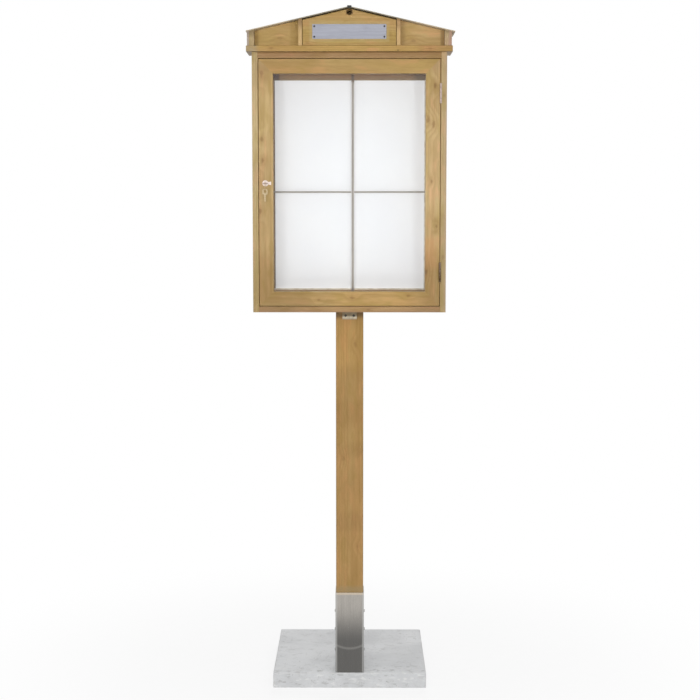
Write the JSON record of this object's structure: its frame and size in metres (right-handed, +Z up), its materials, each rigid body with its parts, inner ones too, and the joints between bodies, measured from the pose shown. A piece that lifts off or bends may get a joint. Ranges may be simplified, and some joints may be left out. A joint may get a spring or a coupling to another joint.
{
  "type": "lockable notice board",
  "caption": "Lockable wooden notice board: a glazed hinged door with a cam lock under a small gabled roof, on a square post in a steel foot on a concrete slab.",
  "frame": {"origin": "centre of the concrete slab's underside", "axes": "+Z up along the post, -Y to the front where the door is, +X to the viewer's right as the door is faced"},
  "size_m": [0.639, 0.6399, 2.1781],
  "materials": {
    "concrete": "cast concrete, fine-pored",
    "post_wood": "stained planed pine",
    "case_wood": "stained planed pine",
    "door_wood": "stained planed pine",
    "roof_wood": "stained planed pine",
    "plywood": "stained plywood",
    "dowel_wood": "turned beech",
    "stainless": "brushed stainless steel",
    "zinc_steel": "zinc-plated steel",
    "hinge_steel": "zinc-plated steel, weathered",
    "lock_nickel": "nickel-plated",
    "key_nickel": "nickel-plated, worn",
    "board_white": "matt white",
    "glass": "clear",
    "strip_aluminium": "satin",
    "plate_aluminium": "anodised satin",
    "roof_sheet": "matt coated sheet, weathered",
    "ridge_dark": "dark grey matt"
  },
  "bodies": {
    "case": {"anchor_bolts": "zinc_steel", "anchor_nuts": "zinc_steel", "anchor_washers": "zinc_steel", "angle_bracket": "zinc_steel", "back_panel": "plywood", "base_slab": "concrete", "battens_level": "case_wood", "battens_upright": "case_wood", "bracket_screws": "zinc_steel", "case_bottom": "case_wood", "case_screws": "zinc_steel", "case_side_left": "case_wood", "case_side_right": "case_wood", "case_top": "case_wood", "divider_strip_level": "strip_aluminium", "divider_strip_screws": "zinc_steel", "divider_strip_upright": "strip_aluminium", "door_stops": "case_wood", "gable_cleats": "roof_wood", "gable_panel": "roof_wood", "gable_upright_left": "door_wood", "gable_upright_right": "door_wood", "hinge_leaves_case": "hinge_steel", "hinge_pins": "hinge_steel", "hinge_screws_case": "zinc_steel", "keeper_screws": "zinc_steel", "ledge_board": "roof_wood", "lock_keeper": "zinc_steel", "name_plate": "plate_aluminium", "name_plate_screws": "zinc_steel", "pin_board": "board_white", "post": "post_wood", "post_fixing_screws": "zinc_steel", "post_sleeve": "stainless", "recess_board": "roof_wood", "ridge_cap": "ridge_dark", "roof_back_board": "plywood", "roof_end_left": "roof_wood", "roof_end_right": "roof_wood", "roof_screws": "zinc_steel", "roof_sheet_left": "roof_sheet", "roof_sheet_right": "roof_sheet", "sleeve_screws": "stainless"},
    "door": {"door_stile_left": "door_wood", "door_stile_right": "door_wood", "door_rail_top": "door_wood", "door_rail_bottom": "door_wood", "mitre_dowels": "dowel_wood", "door_glass": "glass", "glazing_beads": "door_wood", "hinge_leaves_door": "hinge_steel", "hinge_screws_door": "zinc_steel", "lock_body": "lock_nickel", "lock_nut": "zinc_steel"},
    "lock_core": {"lock_plug": "lock_nickel", "lock_cam": "zinc_steel", "cam_screw": "zinc_steel"},
    "key": {"key": "key_nickel"},
    "key_ring": {"key_ring": "key_nickel"},
    "spare_key": {"spare_key": "key_nickel"}
  },
  "joints": [
    {"name": "door_swing", "type": "hinge", "parent": "case", "child": "door", "pos_m": [0.281, -0.3622, 1.64], "axis": [0, 0, 1], "range_deg": [0, 180]},
    {"name": "lock_turn", "type": "hinge", "parent": "door", "child": "lock_core", "pos_m": [-0.26, -0.345, 1.64], "axis": [0, 1, 0], "range_deg": [0, 90]},
    {"name": "key_withdraw", "type": "slide", "parent": "lock_core", "child": "key", "axis": [0, -1, 0], "range_m": [0, 0.024]},
    {"name": "ring_swing", "type": "hinge", "parent": "key", "child": "key_ring", "pos_m": [-0.26, -0.37715, 1.64], "axis": [-1, 0, 0], "range_deg": [-2, 45]},
    {"name": "spare_key_swing", "type": "hinge", "parent": "key_ring", "child": "spare_key", "pos_m": [-0.26, -0.37715, 1.61855], "axis": [0, 1, 0], "range_deg": [-35, 35]}
  ]
}
